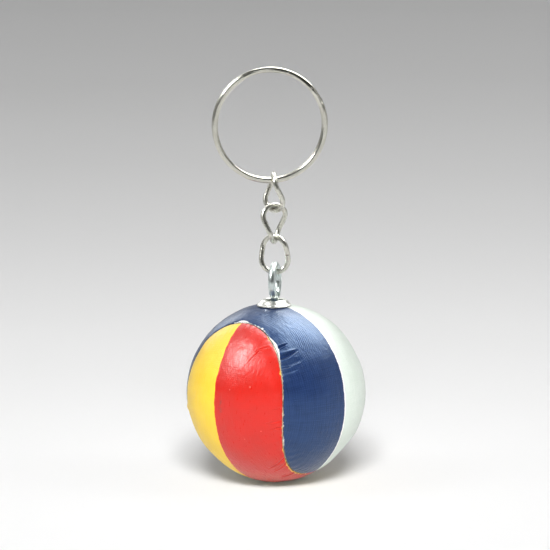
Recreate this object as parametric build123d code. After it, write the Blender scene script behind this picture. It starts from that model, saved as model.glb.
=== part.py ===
from build123d import *
import math
import os

# Miniature juggling ball hanging on a key-ring chain: layered ball, screw eye with a cup
# washer, three twisted links and a split ring.
# Millimetres. +Z points up along the hanging axis, the origin is the ball's lowest point,
# -Y is the front, where the red and the blue cover colours meet on a seam.

# ------------------------------------------------------------------ driving dimensions
BALL_D = 39.0            # outside of the cover
BALL_R = BALL_D / 2
BALL_CENTRE = Vector(0, 0, BALL_R)
COVER_T = 0.9            # printed synthetic-leather cover
FIT_GAP = 0.05           # clearance between the layers inside the ball
CORE_D = 30.0            # turned wooden ball
PAD_SPLIT = 0.20         # joint between the two padding halves
SHELL_TURN = 20          # degrees, turn of the hollow layers' own meridian edge about Z
SHANK_HOLE_D = 2.3       # hole through cover and padding
PILOT_D = 1.30           # screw hole in the core
PILOT_EXTRA = 0.5        # pilot hole depth below the screw's tip
LEAD_IN_GAP = 0.04       # radial clearance around the plain shank in the core
LEAD_IN_EXTRA = 0.15     # lead-in depth below the top of the thread

SEAM_GAP = 0.16          # open butt joint between the two cover panels
SEAM_A = 0.739           # tennis-ball seam: x = A cos t + B cos 3t, y = A sin t - B sin 3t
SEAM_B = 0.261
SEAM_C = 0.831           # z = C sin 2t, then scaled onto the ball
SEAM_AZ = 4.2            # degrees, where the seam crosses the front of the equator
SEAM_POINTS = 96
SEAM_OVERCUT = 1.5       # how far the cutting wall runs past both faces of the cover

EYE_D = 8.40             # outside of the screw eye
EYE_WIRE_D = 1.65
EYE_AZ = 10.7            # degrees, how far the eye's plane is turned from the YZ plane
EYE_BEND_R = 2.48        # bend from the shank into the eye
EYE_BOTTOM = 39.79       # underside of the eye's ring
EYE_JOIN = 25.0          # degrees past the eye's lowest point, where bend and ring join
EYE_END = 24.0           # degrees short of the lowest point, where the wire ends
THREAD_TOP = 33.6
THREAD_BOTTOM = 25.4
THREAD_TIP = 24.3
THREAD_ROOT_D = 1.24
THREAD_CREST_D = 1.78
THREAD_PITCH = 0.85
THREAD_RUN_IN = 0.3      # plain root below the crest
THREAD_RUN_OUT = 0.7     # plain length above the crest
NECK_H = 0.4             # taper from the root to the shank
TIP_R = 0.04

WASHER_D = 7.50
WASHER_HOLE_D = 3.80
WASHER_T = 0.35
WASHER_TOP = 39.98
WASHER_SHIFT = -0.20     # the washer sits a little to the left of the shank
WASHER_REST = 0.08       # keeps the off-centre washer clear of the cover

WIRE_D = 1.10            # chain wire
LINK_LEN = 9.00          # outside length of a link
LINK_W = 7.00            # outside width of a link
LINK_CUT = 0.14          # saw cut where the link was closed
LINK_STEPS = 72          # steps along a link's centreline
HANG_GAP = 0.05          # running clearance where link meets link
EYE_HANG_GAP = 0.04      # the same where the bottom link meets the eye

RING_D = 25.0            # standard split ring
RING_RADIAL = 1.20       # wire height, across the ring
RING_AXIAL = 0.95        # wire thickness of one coil
RING_COIL_STEP = 1.00    # coil to coil, centre to centre
RING_CORNER = 0.42       # rounded wire edge
RING_AZ = -8.0           # degrees, turn of the ring's plane from the XZ plane
RING_SIDE = 0.75         # the top link hangs this far to the right of the ring's lowest point
RING_BOTTOM_IN = 66.67   # inside of the ring where the top link hangs
# clock angles in degrees from the top; seen from the front the wire runs anticlockwise
RING_START = -28.4       # front wire end
RING_CROSS_START = 52.0  # the wire starts to cross from the front coil to the back coil
RING_CROSS_END = 26.0
RING_END = 57.0          # back wire end


# ------------------------------------------------------------------ helpers
def only_solid(shape):
    """The largest solid that a boolean result holds."""
    return max(shape.solids(), key=lambda solid: solid.volume)


def save(name, shape):
    shape.label = name
    export_step(shape, "parts/" + name + ".step")


def ease(fraction):
    """Smooth step from 0 to 1."""
    fraction = max(0.0, min(1.0, fraction))
    return fraction * fraction * (3 - 2 * fraction)


def plane_dir(angle):
    """Level direction turned clockwise from +X, seen from above."""
    turn = math.radians(angle)
    return Vector(math.cos(turn), -math.sin(turn), 0)


def disc(radius, plane):
    return Face(Wire([Edge.make_circle(radius, plane)]))


# ------------------------------------------------------------------ chain links
LINK_HALF_W = (LINK_W - WIRE_D) / 2        # to the wire's centreline
LINK_HALF_L = (LINK_LEN - WIRE_D) / 2
LINK_SIDE = LINK_HALF_L - LINK_HALF_W      # half the straight side
LINK_BEND = math.pi * LINK_HALF_W          # length of one end bend
LINK_PERIMETER = 2 * LINK_BEND + 4 * LINK_SIDE
LINK_PITCH = LINK_LEN - 2 * WIRE_D - HANG_GAP
BOTTOM_LINK_Z = EYE_BOTTOM + EYE_D - EYE_WIRE_D - EYE_HANG_GAP - WIRE_D + LINK_LEN / 2

# centre height, turn of the link's plane at its top and at its bottom (degrees, as in
# plane_dir), place of the saw cut along the centreline from mid height on the +across
# side, going up
LINKS = {
    "chain_link_top": (BOTTOM_LINK_Z + 2 * LINK_PITCH, 85.0, 45.0, LINK_PERIMETER * 0.665),
    "chain_link_middle": (BOTTOM_LINK_Z + LINK_PITCH, -30.0, -75.0, LINK_PERIMETER * 0.165),
    "chain_link_bottom": (BOTTOM_LINK_Z, 35.0, 5.0, 0.10),
}


def oval_point(distance):
    """Across and up position on the flat oval centreline."""
    if distance < LINK_SIDE:
        return LINK_HALF_W, distance
    if distance < LINK_SIDE + LINK_BEND:
        angle = (distance - LINK_SIDE) / LINK_HALF_W
        return LINK_HALF_W * math.cos(angle), LINK_SIDE + LINK_HALF_W * math.sin(angle)
    if distance < 3 * LINK_SIDE + LINK_BEND:
        return -LINK_HALF_W, 2 * LINK_SIDE + LINK_BEND - distance
    if distance < 3 * LINK_SIDE + 2 * LINK_BEND:
        angle = (distance - 3 * LINK_SIDE - LINK_BEND) / LINK_HALF_W
        return -LINK_HALF_W * math.cos(angle), -LINK_SIDE - LINK_HALF_W * math.sin(angle)
    return LINK_HALF_W, distance - LINK_PERIMETER


def chain_link(z_mid, turn_top, turn_bottom, cut):
    """Oval of round wire, twisted between top and bottom, open at the saw cut."""
    points = []
    for k in range(LINK_STEPS + 1):
        distance = cut + LINK_CUT / 2 + (LINK_PERIMETER - LINK_CUT) * k / LINK_STEPS
        across, up = oval_point(distance % LINK_PERIMETER)
        twist = ease((up + LINK_HALF_W) / (2 * LINK_HALF_W))
        turn = turn_bottom + (turn_top - turn_bottom) * twist
        points.append(plane_dir(turn) * across + Vector(0, 0, z_mid + up))
    path = Edge.make_spline(points)
    return Solid.sweep(disc(WIRE_D / 2, Plane(origin=path @ 0, z_dir=path % 0)), path)


# ------------------------------------------------------------------ split ring
RING_CL_R = (RING_D - RING_RADIAL) / 2
RING_ALONG = plane_dir(RING_AZ)
RING_FRONT = plane_dir(RING_AZ + 90)
RING_Z = RING_BOTTOM_IN - RING_RADIAL / 2 + math.sqrt(RING_CL_R**2 - RING_SIDE**2)
RING_CENTRE = RING_ALONG * (-RING_SIDE) + Vector(0, 0, RING_Z)


def ring_point(clock, level):
    """Centreline point at a clock angle, level being the distance to the front."""
    angle = math.radians(clock)
    return (
        RING_CENTRE
        + RING_ALONG * (RING_CL_R * math.sin(angle))
        + Vector(0, 0, RING_CL_R * math.cos(angle))
        + RING_FRONT * level
    )


def steps(start, end, count):
    return [start + (end - start) * i / count for i in range(count + 1)]


def split_ring():
    """Flat-sided wire: front coil, crossing, back coil."""
    front = RING_COIL_STEP / 2
    cross_start = RING_CROSS_START - 360
    cross_end = RING_CROSS_END - 360
    points = [ring_point(clock, front) for clock in steps(RING_START, cross_start, 48)]
    for clock in steps(cross_start, cross_end, 9)[1:]:
        crossed = ease((cross_start - clock) / (cross_start - cross_end))
        points.append(ring_point(clock, front - RING_COIL_STEP * crossed))
    points += [ring_point(clock, -front) for clock in steps(cross_end, RING_END - 720, 56)[1:]]
    path = Edge.make_spline(points)
    start = Plane(origin=path @ 0, x_dir=RING_FRONT, z_dir=path % 0)
    section = start * RectangleRounded(RING_AXIAL, RING_RADIAL, RING_CORNER)
    return Solid.sweep(section.faces()[0], path)


# ------------------------------------------------------------------ screw eye
EYE_CL_R = (EYE_D - EYE_WIRE_D) / 2
EYE_Z = EYE_BOTTOM + EYE_D / 2
EYE_NEAR = Vector(-math.sin(math.radians(EYE_AZ)), -math.cos(math.radians(EYE_AZ)), 0)
# angles in the eye's plane, from the near side, positive upwards
JOIN_ANGLE = -90 + EYE_JOIN
END_ANGLE = 270 - EYE_END
BEND_SWEEP = math.pi / 2 - math.radians(EYE_JOIN)
BEND_LOW_Z = (
    EYE_Z
    + EYE_CL_R * math.sin(math.radians(JOIN_ANGLE))
    - EYE_BEND_R * math.sin(BEND_SWEEP)
)
# the shank's distance to the near side of the Z axis
SHANK_NEAR = (
    EYE_CL_R * math.cos(math.radians(JOIN_ANGLE)) - EYE_BEND_R * (1 - math.cos(BEND_SWEEP))
)


def eye_point(near, z):
    return EYE_NEAR * near + Vector(0, 0, z)


def eye_ring_point(degrees):
    angle = math.radians(degrees)
    return eye_point(EYE_CL_R * math.cos(angle), EYE_Z + EYE_CL_R * math.sin(angle))


def on_shank(z):
    return eye_point(SHANK_NEAR, z)


def eye_wire():
    """The shank bends out to the near side, then rings round to end beside the shank."""
    shank_low = on_shank(THREAD_TOP)
    bend_low = on_shank(BEND_LOW_Z)
    bend_mid = eye_point(
        SHANK_NEAR + EYE_BEND_R * (1 - math.cos(BEND_SWEEP / 2)),
        BEND_LOW_Z + EYE_BEND_R * math.sin(BEND_SWEEP / 2),
    )
    join = eye_ring_point(JOIN_ANGLE)
    ring_mid = eye_ring_point((JOIN_ANGLE + END_ANGLE) / 2)
    path = Wire(
        [
            Edge.make_line(shank_low, bend_low),
            Edge.make_three_point_arc(bend_low, bend_mid, join),
            Edge.make_three_point_arc(join, ring_mid, eye_ring_point(END_ANGLE)),
        ]
    )
    return Solid.sweep(disc(EYE_WIRE_D / 2, Plane(origin=shank_low, z_dir=(0, 0, 1))), path)


def thread_crest():
    """Helical ridge, its section sunk a little into the root."""
    crest_h = (THREAD_CREST_D - THREAD_ROOT_D) / 2
    sunk, half_base, half_tip = 0.10, 0.24, 0.045
    low = THREAD_BOTTOM + THREAD_RUN_IN
    height = THREAD_TOP - THREAD_RUN_OUT - low
    helix = Edge.make_helix(THREAD_PITCH, height, THREAD_ROOT_D / 2, center=on_shank(low))
    start = helix @ 0
    plane = Plane(origin=start, x_dir=start - on_shank(start.Z), z_dir=helix % 0)
    outline = Polyline(
        (-sunk, -half_base), (crest_h, -half_tip), (crest_h, half_tip), (-sunk, half_base),
        close=True,
    )
    section = (plane * make_face(outline)).faces()[0]
    return Solid.sweep(section, helix, is_frenet=True)


def screw_eye():
    root_r = THREAD_ROOT_D / 2
    # the root runs on into the shank above it
    root = Solid.make_cylinder(
        root_r, THREAD_TOP - THREAD_BOTTOM + 0.4, Plane(origin=on_shank(THREAD_BOTTOM))
    )
    neck = Solid.make_cone(
        root_r, EYE_WIRE_D / 2, NECK_H, Plane(origin=on_shank(THREAD_TOP - NECK_H))
    )
    point = Solid.make_cone(
        TIP_R, root_r, THREAD_BOTTOM - THREAD_TIP, Plane(origin=on_shank(THREAD_TIP))
    )
    return only_solid(eye_wire() + root + neck + point + thread_crest())


# ------------------------------------------------------------------ cup washer
def foot_point(radius):
    """Profile point just above the cover."""
    return radius, BALL_R + math.sqrt(BALL_R * BALL_R - radius * radius) + WASHER_REST


def cup_washer():
    """Revolved profile of (radius, z) points, domed from the cover up to the hole's lip."""
    rim = WASHER_D / 2
    hole = WASHER_HOLE_D / 2
    foot_out = foot_point(rim)
    foot_in = foot_point(rim - 0.38)
    edge = (rim - 0.02, foot_out[1] + 0.22)
    flank = (rim - 0.62, WASHER_TOP - 0.66)
    shoulder = (hole + 0.72, WASHER_TOP - 0.12)
    crown = (hole + 0.30, WASHER_TOP)
    lip_round = (hole + 0.08, WASHER_TOP - 0.09)
    lip = (hole, WASHER_TOP - 0.28)
    lip_under = (hole + 0.05, WASHER_TOP - 0.50)
    shoulder_under = (hole + 0.62, WASHER_TOP - 0.12 - WASHER_T)
    flank_under = (rim - 0.86, WASHER_TOP - 0.86)
    with BuildPart() as washer:
        with BuildSketch(Plane.XZ):
            with BuildLine():
                Line(foot_in, foot_out)
                Line(foot_out, edge)
                Spline(edge, flank, shoulder, crown, lip_round, lip)
                Line(lip, lip_under)
                Spline(lip_under, shoulder_under, flank_under, foot_in)
            make_face()
        revolve(axis=Axis.Z)
    return only_solid(washer.part.moved(Location((WASHER_SHIFT, 0, 0))))


# ------------------------------------------------------------------ ball layers
SEAM_X = Vector(math.sin(math.radians(SEAM_AZ)), -math.cos(math.radians(SEAM_AZ)), 0)
SEAM_Y = Vector(-math.cos(math.radians(SEAM_AZ)), -math.sin(math.radians(SEAM_AZ)), 0)


def seam_base(t):
    """Unit direction of the seam's middle from the ball's centre."""
    x = SEAM_A * math.cos(t) + SEAM_B * math.cos(3 * t)
    y = SEAM_A * math.sin(t) - SEAM_B * math.sin(3 * t)
    z = SEAM_C * math.sin(2 * t)
    return (SEAM_X * x + SEAM_Y * y + Vector(0, 0, z)).normalized()


def seam_dir(t, offset):
    """Direction of the seam, moved sideways by offset on the ball's surface."""
    middle = seam_base(t)
    along = (seam_base(t + 1e-4) - seam_base(t - 1e-4)).normalized()
    sideways = middle.cross(along).normalized()
    angle = offset / BALL_R
    return (middle * math.cos(angle) + sideways * math.sin(angle)).normalized()


def seam_wall(offset):
    """Conical wall through the seam, cutting the cover square to its surface."""
    rays = [seam_dir(2 * math.pi * i / SEAM_POINTS, offset) for i in range(SEAM_POINTS)]
    inner, outer = [
        Edge.make_spline([BALL_CENTRE + ray * radius for ray in rays], periodic=True)
        for radius in (BALL_R - COVER_T - SEAM_OVERCUT, BALL_R + SEAM_OVERCUT)
    ]
    return Face.make_surface_from_curves(inner, outer)


def full_sphere(radius):
    return Solid.make_sphere(radius, angle1=-90, angle2=90, angle3=360)


def ball_shell(outer_r, inner_r):
    shell = only_solid(full_sphere(outer_r) - full_sphere(inner_r))
    return shell.rotate(Axis.Z, SHELL_TURN).moved(Location(BALL_CENTRE))


def shank_hole():
    return Solid.make_cylinder(SHANK_HOLE_D / 2, BALL_D, Plane(origin=BALL_CENTRE))


def cover_panel(offset, probe_z):
    """The piece of the cover, cut beside the seam, that holds the probe point on the Z axis."""
    cover = ball_shell(BALL_R, BALL_R - COVER_T)
    pieces = cover.split(seam_wall(offset), keep=Keep.ALL)
    return next(piece for piece in pieces if piece.is_inside(Vector(0, 0, probe_z)))


def foam_padding(y_side):
    """Half of the padding, on the -Y (-1) or the +Y (1) side."""
    pad = ball_shell(BALL_R - COVER_T - FIT_GAP, CORE_D / 2 + FIT_GAP) - shank_hole()
    size = 4 * BALL_R
    y_mid = y_side * (size / 2 + PAD_SPLIT / 2)
    return only_solid(pad & Box(size, size, size).moved(Location((0, y_mid, BALL_R))))


def wood_core():
    core = full_sphere(CORE_D / 2).moved(Location(BALL_CENTRE))
    # both holes run out through the top of the core
    pilot = Solid.make_cylinder(
        PILOT_D / 2, 60, Plane(origin=on_shank(THREAD_TIP - PILOT_EXTRA))
    )
    lead_in = Solid.make_cylinder(
        EYE_WIRE_D / 2 + LEAD_IN_GAP, 30, Plane(origin=on_shank(THREAD_TOP - LEAD_IN_EXTRA))
    )
    return only_solid(core - pilot - lead_in)


# ------------------------------------------------------------------ write the pieces
os.makedirs("parts", exist_ok=True)
for link_name, link_values in LINKS.items():
    save(link_name, chain_link(*link_values))
save("split_ring", split_ring())
save("screw_eye", screw_eye())
save("cup_washer", cup_washer())
lower_panel = cover_panel(SEAM_GAP / 2, COVER_T / 2)
upper_panel = cover_panel(-SEAM_GAP / 2, BALL_D - COVER_T / 2)
save("cover_panel_yellow_red", only_solid(lower_panel))
save("cover_panel_blue_white", only_solid(upper_panel - shank_hole()))
save("foam_padding_front", foam_padding(-1))
save("foam_padding_back", foam_padding(1))
save("wood_core", wood_core())
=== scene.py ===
# Ball key ring: a 39 mm ball with a cover of two printed panels, hung on a screw eye,
# a short chain and a split ring. The ball's lowest point is the origin, +Z is up and
# the front faces -Y. The cover is worked out in millimetres and stored in metres.
# The other pieces are the CAD's own, with new materials.
import math
from types import SimpleNamespace

import bpy
import numpy as np
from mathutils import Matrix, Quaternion, Vector, kdtree


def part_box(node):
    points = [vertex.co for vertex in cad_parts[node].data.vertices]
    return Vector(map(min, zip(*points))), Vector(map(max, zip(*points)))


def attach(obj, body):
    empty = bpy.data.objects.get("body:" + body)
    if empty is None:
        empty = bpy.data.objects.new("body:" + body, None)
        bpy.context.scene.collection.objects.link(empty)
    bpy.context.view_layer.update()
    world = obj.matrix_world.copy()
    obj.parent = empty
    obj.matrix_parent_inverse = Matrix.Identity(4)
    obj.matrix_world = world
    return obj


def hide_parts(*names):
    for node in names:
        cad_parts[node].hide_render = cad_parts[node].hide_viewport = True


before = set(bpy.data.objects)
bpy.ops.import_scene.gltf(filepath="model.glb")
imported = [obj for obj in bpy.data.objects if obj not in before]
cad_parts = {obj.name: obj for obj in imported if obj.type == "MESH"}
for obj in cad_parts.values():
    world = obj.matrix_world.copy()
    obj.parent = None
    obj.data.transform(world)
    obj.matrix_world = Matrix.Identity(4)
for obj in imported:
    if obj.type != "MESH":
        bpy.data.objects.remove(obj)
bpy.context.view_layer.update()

MM = 0.001
TURN = 2 * math.pi

# ---------------------------------------------------------------- driving dimensions, mm
high_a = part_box("cover_panel_yellow_red")[1]
high_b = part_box("cover_panel_blue_white")[1]
BALL_R = max(high_a.x, high_b.x, high_a.y, high_b.y) / MM
CENTRE = np.array([0.0, 0.0, BALL_R])
UP = np.array([0, 0, 1.0])
COVER_T = 0.86
SHANK_HOLE_R = 1.15

# the seam curve: first and third harmonic, height, and the azimuth it starts from in degrees
SEAM_A, SEAM_B, SEAM_C, SEAM_AZ = 0.739, 0.261, 0.831, 4.2
SEAM_N = 6000
T_APEX = math.radians(45)         # seam parameter at the upper tip of the yellow and red lobe

GRID_N = 112                # cells along a side of the cube sphere
GRID_TURN = 0.35                  # radians about Z, keeps grid lines off the colours' edges
REFINE_PASSES = ((1.5, 1.2), (0.45, 0.45))        # mm reach from the seam, from the creases
FINE_STEP = BALL_R * (math.pi / 2) / GRID_N / 2 ** len(REFINE_PASSES)
SNAP_SHARE = 0.28                 # share of the fine step within which points snap to the cut


# ---------------------------------------------------------------- directions and smooth noise
def direction(azimuth, latitude=0.0):
    """Unit vector. Azimuth 0 is the front, -Y, and grows towards +X. Both are in degrees."""
    az, lat = math.radians(azimuth), math.radians(latitude)
    return np.array([math.sin(az) * math.cos(lat), -math.cos(az) * math.cos(lat), math.sin(lat)])


def unit(vectors):
    return vectors / np.linalg.norm(vectors, axis=-1, keepdims=True)


def mm_from(dirs, centre_dir):
    return np.linalg.norm(dirs - centre_dir, axis=1) * BALL_R


def smooth(x, start, end):
    x = np.clip((x - start) / (end - start), 0, 1)
    return x * x * (3 - 2 * x)


def band(x, rise, fall):
    return smooth(x, *rise) * (1 - smooth(x, *fall))


def waves(count, wavelength, spread, seed):
    """Band-limited smooth noise on points in mm, about -1 to 1."""
    rng = np.random.default_rng(seed)
    axes = unit(rng.normal(size=(count, 3)))
    rate = TURN / (wavelength * np.exp(rng.uniform(-spread, spread, count)))
    phase = rng.uniform(0, TURN, count)

    def noise(points):
        total = np.zeros(len(points))
        for i in range(count):
            total += np.sin(points @ axes[i] * rate[i] + phase[i])
        return total / math.sqrt(count / 2) / 1.6

    return noise


def loop_noise(seed, low, high):
    """Smooth periodic noise of the seam parameter, 0 to 1, with low to high waves a turn."""
    rng = np.random.default_rng(seed)
    counts = np.arange(low, high)
    sizes = rng.normal(size=len(counts)) / np.sqrt(len(counts))
    phases = rng.uniform(0, TURN, len(counts))

    def noise(param):
        total = np.zeros_like(param)
        for count, size, phase in zip(counts, sizes, phases):
            total += size * np.sin(count * param + phase)
        return 0.5 + 0.5 * np.tanh(total * 1.3)

    return noise


def seam_bump(param, at, width):
    """Bell curve along the seam, 1 at the parameter `at`. Width in radians."""
    offset = (param - at + math.pi) % TURN - math.pi
    return np.exp(-(offset / width) ** 2)


def seam_bump_pair(param, at, width):
    return seam_bump(param, at, width) + seam_bump(param, at + math.pi, width)


# ---------------------------------------------------------------- seam curve
def seam(param):
    x = SEAM_A * np.cos(param) + SEAM_B * np.cos(3 * param)
    y = SEAM_A * np.sin(param) - SEAM_B * np.sin(3 * param)
    z = SEAM_C * np.sin(2 * param)
    return unit(x[..., None] * SEAM_X + y[..., None] * SEAM_Y + z[..., None] * UP)


SEAM_X, SEAM_Y = direction(SEAM_AZ), direction(SEAM_AZ - 90)
seam_param = np.linspace(0, TURN, SEAM_N, endpoint=False)
seam_dirs = seam(seam_param)
seam_tangent = unit(np.roll(seam_dirs, -1, 0) - np.roll(seam_dirs, 1, 0))
seam_side = np.cross(seam_dirs, seam_tangent)
if SEAM_Y @ seam_side[0] < 0:
    seam_side = -seam_side        # points towards the yellow and red panel
seam_tree = kdtree.KDTree(SEAM_N)
for i, point in enumerate(seam_dirs):
    seam_tree.insert(point, i)
seam_tree.balance()


def seam_frame(dirs):
    """Distance to the seam in mm, positive on the yellow and red panel, and the parameter."""
    nearest = np.empty(len(dirs), int)
    for i, point in enumerate(dirs):
        nearest[i] = seam_tree.find(point)[1]
    offset = dirs - seam_dirs[nearest]
    across = (offset * seam_side[nearest]).sum(1)
    dist = np.linalg.norm(offset, axis=1)
    signed = np.where(across >= 0, dist, -dist)
    # close to the seam the sideways part is the more exact
    signed = np.where(dist < 0.02, across, signed) * BALL_R
    return signed, seam_param[nearest]


# ---------------------------------------------------------------- creases
# path of (azimuth, latitude), width mm, depth mm, taper at start, taper at end, height of lips
CREASES_B = [
    ([(0.0, 40.4), (4.5, 41.8), (10.0, 43.6)], 0.26, 0.50, 0.0, 0.5, 0.25),
    ([(2.2, 33.6), (9.0, 35.3), (17.6, 38.4)], 0.55, 0.62, 0.0, 0.66, 0.30),
    ([(3.4, 28.8), (11.0, 30.2), (19.0, 32.4)], 0.60, 0.36, 0.0, 0.4, 0.25),
    ([(3.8, 26.9), (7.0, 27.2), (10.5, 27.6)], 0.26, 0.22, 0.0, 0.5, 0.2),
    ([(4.0, 23.6), (10.0, 24.4), (15.0, 25.6)], 0.40, 0.13, 0.0, 0.5, 0.2),
]
CREASES_A = [
    ([(-5.6, 41.5), (-9.5, 40.9), (-13.0, 39.4), (-17.5, 37.2)], 0.20, 0.15, 0.0, 0.5, 0.45),
    ([(-12.0, 38.6), (-18.0, 33.5), (-22.0, 27.0)], 0.30, 0.06, 0.5, 0.5, 0.4),
    ([(4.0, -6.2), (-2.0, -7.4), (-9.5, -8.6)], 0.20, 0.12, 0.0, 0.5, 0.35),
    ([(4.8, -11.0), (0.0, -11.6), (-4.2, -12.6)], 0.22, 0.12, 0.0, 0.5, 0.35),
    ([(4.6, 2.0), (0.5, 1.4), (-3.5, 1.2)], 0.20, 0.07, 0.0, 0.5, 0.35),
    ([(6.2, -34.6), (0.0, -41.0), (-8.0, -46.0)], 0.26, 0.22, 0.0, 0.4, 0.35),
    ([(8.5, -38.5), (2.0, -46.0), (-4.0, -50.0)], 0.24, 0.18, 0.0, 0.4, 0.35),
    ([(20.0, -52.0), (12.0, -56.0), (4.0, -58.5)], 0.26, 0.18, 0.0, 0.4, 0.35),
]
BACK_CREASE_SHARE = 0.8           # depth of the creases on the back against the front
LIP_AT, LIP_SPREAD = 1.9, 0.9     # place and squared width of the lips, in crease widths

# inner edge of a fan of ripples, (azimuth, latitude)
FAN = [(11.5, 57.0), (16.6, 47.0), (17.6, 40.2), (13.0, 37.2), (5.5, 35.6)]
FAN_PITCH = 0.42
FAN_HEIGHT = 0.016
FAN_SKEW = 2.5                    # radians the ripples shift from one end of the fan to the other
FAN_REACH = ((-0.35, 0.7), (3.0, 4.4))            # mm outwards: ripples rise, then fall
FAN_RUN = ((0.02, 0.30), (0.86, 1.0))             # share along the edge: rise, then fall


def half_turned(path):
    """The cover has a half-turn symmetry, so its back carries the like creases."""
    return [(azimuth + 180.0, latitude) for azimuth, latitude in path]


def path_place(dirs, path):
    """Distance to a path in mm, the share along it, and the side as -1 or 1."""
    line = [direction(*place) for place in path]
    total = sum(np.linalg.norm(end - start) for start, end in zip(line, line[1:]))
    best, share, side = np.full(len(dirs), 1e9), np.zeros(len(dirs)), np.ones(len(dirs))
    run = 0.0
    for start, end in zip(line, line[1:]):
        step = end - start
        length = np.linalg.norm(step)
        along = np.clip(((dirs - start) @ step) / (length * length), 0, 1)
        dist = np.linalg.norm(dirs - (start + along[:, None] * step), axis=1) * BALL_R
        closer = dist < best
        best[closer] = dist[closer]
        share[closer] = ((run + along * length) / total)[closer]
        side[closer] = np.sign((dirs - start) @ np.cross(start + end, step))[closer]
        run += length
    return best, share, side


def groove(dirs, path, width, depth, taper_in, taper_out, lips):
    """A crease: a valley with a soft raised lip on each side."""
    dist, share, _ = path_place(dirs, path)
    width = width * (1 - taper_out * share) * (1 - taper_in * (1 - share))
    fade = smooth(share, -0.001, 0.04 + 0.2 * taper_in) if taper_in else 1.0
    fade = fade * (1 - smooth(share, 0.75, 1.0) * 0.9)
    x = dist / np.maximum(width, 1e-3)
    return fade * depth * (-np.exp(-(x ** 2)) + lips * np.exp(-((x - LIP_AT) ** 2) / LIP_SPREAD))


def fan(dirs, path):
    dist, share, side = path_place(dirs, path)
    outward = dist * side
    ripple = np.sin(TURN * outward / FAN_PITCH + FAN_SKEW * share)
    return FAN_HEIGHT * ripple * band(outward, *FAN_REACH) * band(share, *FAN_RUN)


def crease_distance(dirs):
    """Distance in mm to the nearest crease, 0 inside a fan."""
    best = np.full(len(dirs), 1e9)
    for path in (FAN, half_turned(FAN)):
        dist, share, side = path_place(dirs, path)
        outward = dist * side
        best[(outward > -0.4) & (outward < 4.5) & (share > 0.001) & (share < 0.999)] = 0.0
    for front, *_ in CREASES_B + CREASES_A:
        for path in (front, half_turned(front)):
            best = np.minimum(best, path_place(dirs, path)[0])
    return best


# ---------------------------------------------------------------- what differs between the panels
# mounds: azimuth, latitude, radius mm, height mm. The last two flatten the outline.
FLATS = [(80, -40, 5.0, -0.42), (-75, -48, 6.0, -0.16)]

# gap_bumps: seam parameter, width in radians, extra gap mm
# margin_bumps: seam parameter in degrees, width in radians, mm constant, mm times fine noise
PANEL_A = SimpleNamespace(
    name="cover_yellow_red",
    side=1.0,
    middle_azimuth=SEAM_AZ - 45,
    middle_up=-1.0,               # its middle line passes under the ball
    has_hole=False,
    creases=CREASES_A,
    fans=(),
    mounds=[(-86, -8, 0.9, 0.40)] + FLATS,
    tip_param=T_APEX,
    tip_ripple=0.025,
    edge_noise=loop_noise(seed=11, low=40, high=220),
    gap_bumps=[(T_APEX + 0.10, 0.05, 0.15), (math.radians(18), 0.09, 0.04)],
    wide_noise=loop_noise(seed=21, low=6, high=40),
    fine_noise=loop_noise(seed=23, low=60, high=260),
    speck_mm=1.2,
    margin_bumps=[
        (30, 0.03, 0.26, 0.0), (14.2, 0.012, 0.36, 0.0), (42, 0.05, 0.10, 0.0),
        (-31, 0.16, 0.15, 0.15), (-17, 0.02, 0.24, 0.0),
    ],
)
PANEL_B = SimpleNamespace(
    name="cover_blue_white",
    side=-1.0,
    middle_azimuth=SEAM_AZ + 45,
    middle_up=1.0,                # its middle line passes over the top
    has_hole=True,
    creases=CREASES_B,
    fans=(FAN, half_turned(FAN)),
    mounds=[(11, 40, 2.2, 0.10)] + FLATS,
    tip_param=-T_APEX,
    tip_ripple=0.055,
    edge_noise=loop_noise(seed=12, low=40, high=220),
    gap_bumps=[(T_APEX + 0.10, 0.04, 0.06)],
    wide_noise=loop_noise(seed=22, low=6, high=40),
    fine_noise=loop_noise(seed=24, low=60, high=260),
    speck_mm=0.8,
    margin_bumps=[
        (25.0, 0.085, 0.56, 0.0), (37, 0.06, 0.066, 0.22), (46.5, 0.045, 0.50, 0.0),
        (-6.2, 0.03, 0.0, 0.16), (-12.3, 0.03, 0.18, 0.0),
    ],
)

GAP_MM, GAP_WANDER_MM, GAP_FINE_MM = 0.035, 0.05, 0.05      # half the open joint
gap_noise = loop_noise(seed=7, low=8, high=60)


def seam_gap(param, panel):
    """Half the open joint in mm, with its wander along the seam."""
    gap = GAP_MM + GAP_WANDER_MM * gap_noise(param) + GAP_FINE_MM * panel.edge_noise(param)
    for at, width, extra in panel.gap_bumps:
        gap = gap + extra * seam_bump(param, at, width)
    return gap


def raw_margin(param, panel):
    """Width in mm left unprinted along the panel's edge."""
    wide, fine = panel.wide_noise(param), panel.fine_noise(param)
    margin = panel.speck_mm * (np.clip(fine - 0.70, 0, 1) * np.clip(wide - 0.45, 0, 1))
    for degrees, width, constant, varying in panel.margin_bumps:
        bumps = seam_bump_pair(param, math.radians(degrees), width)
        margin += bumps * (constant + varying * fine)
    return margin


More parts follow.
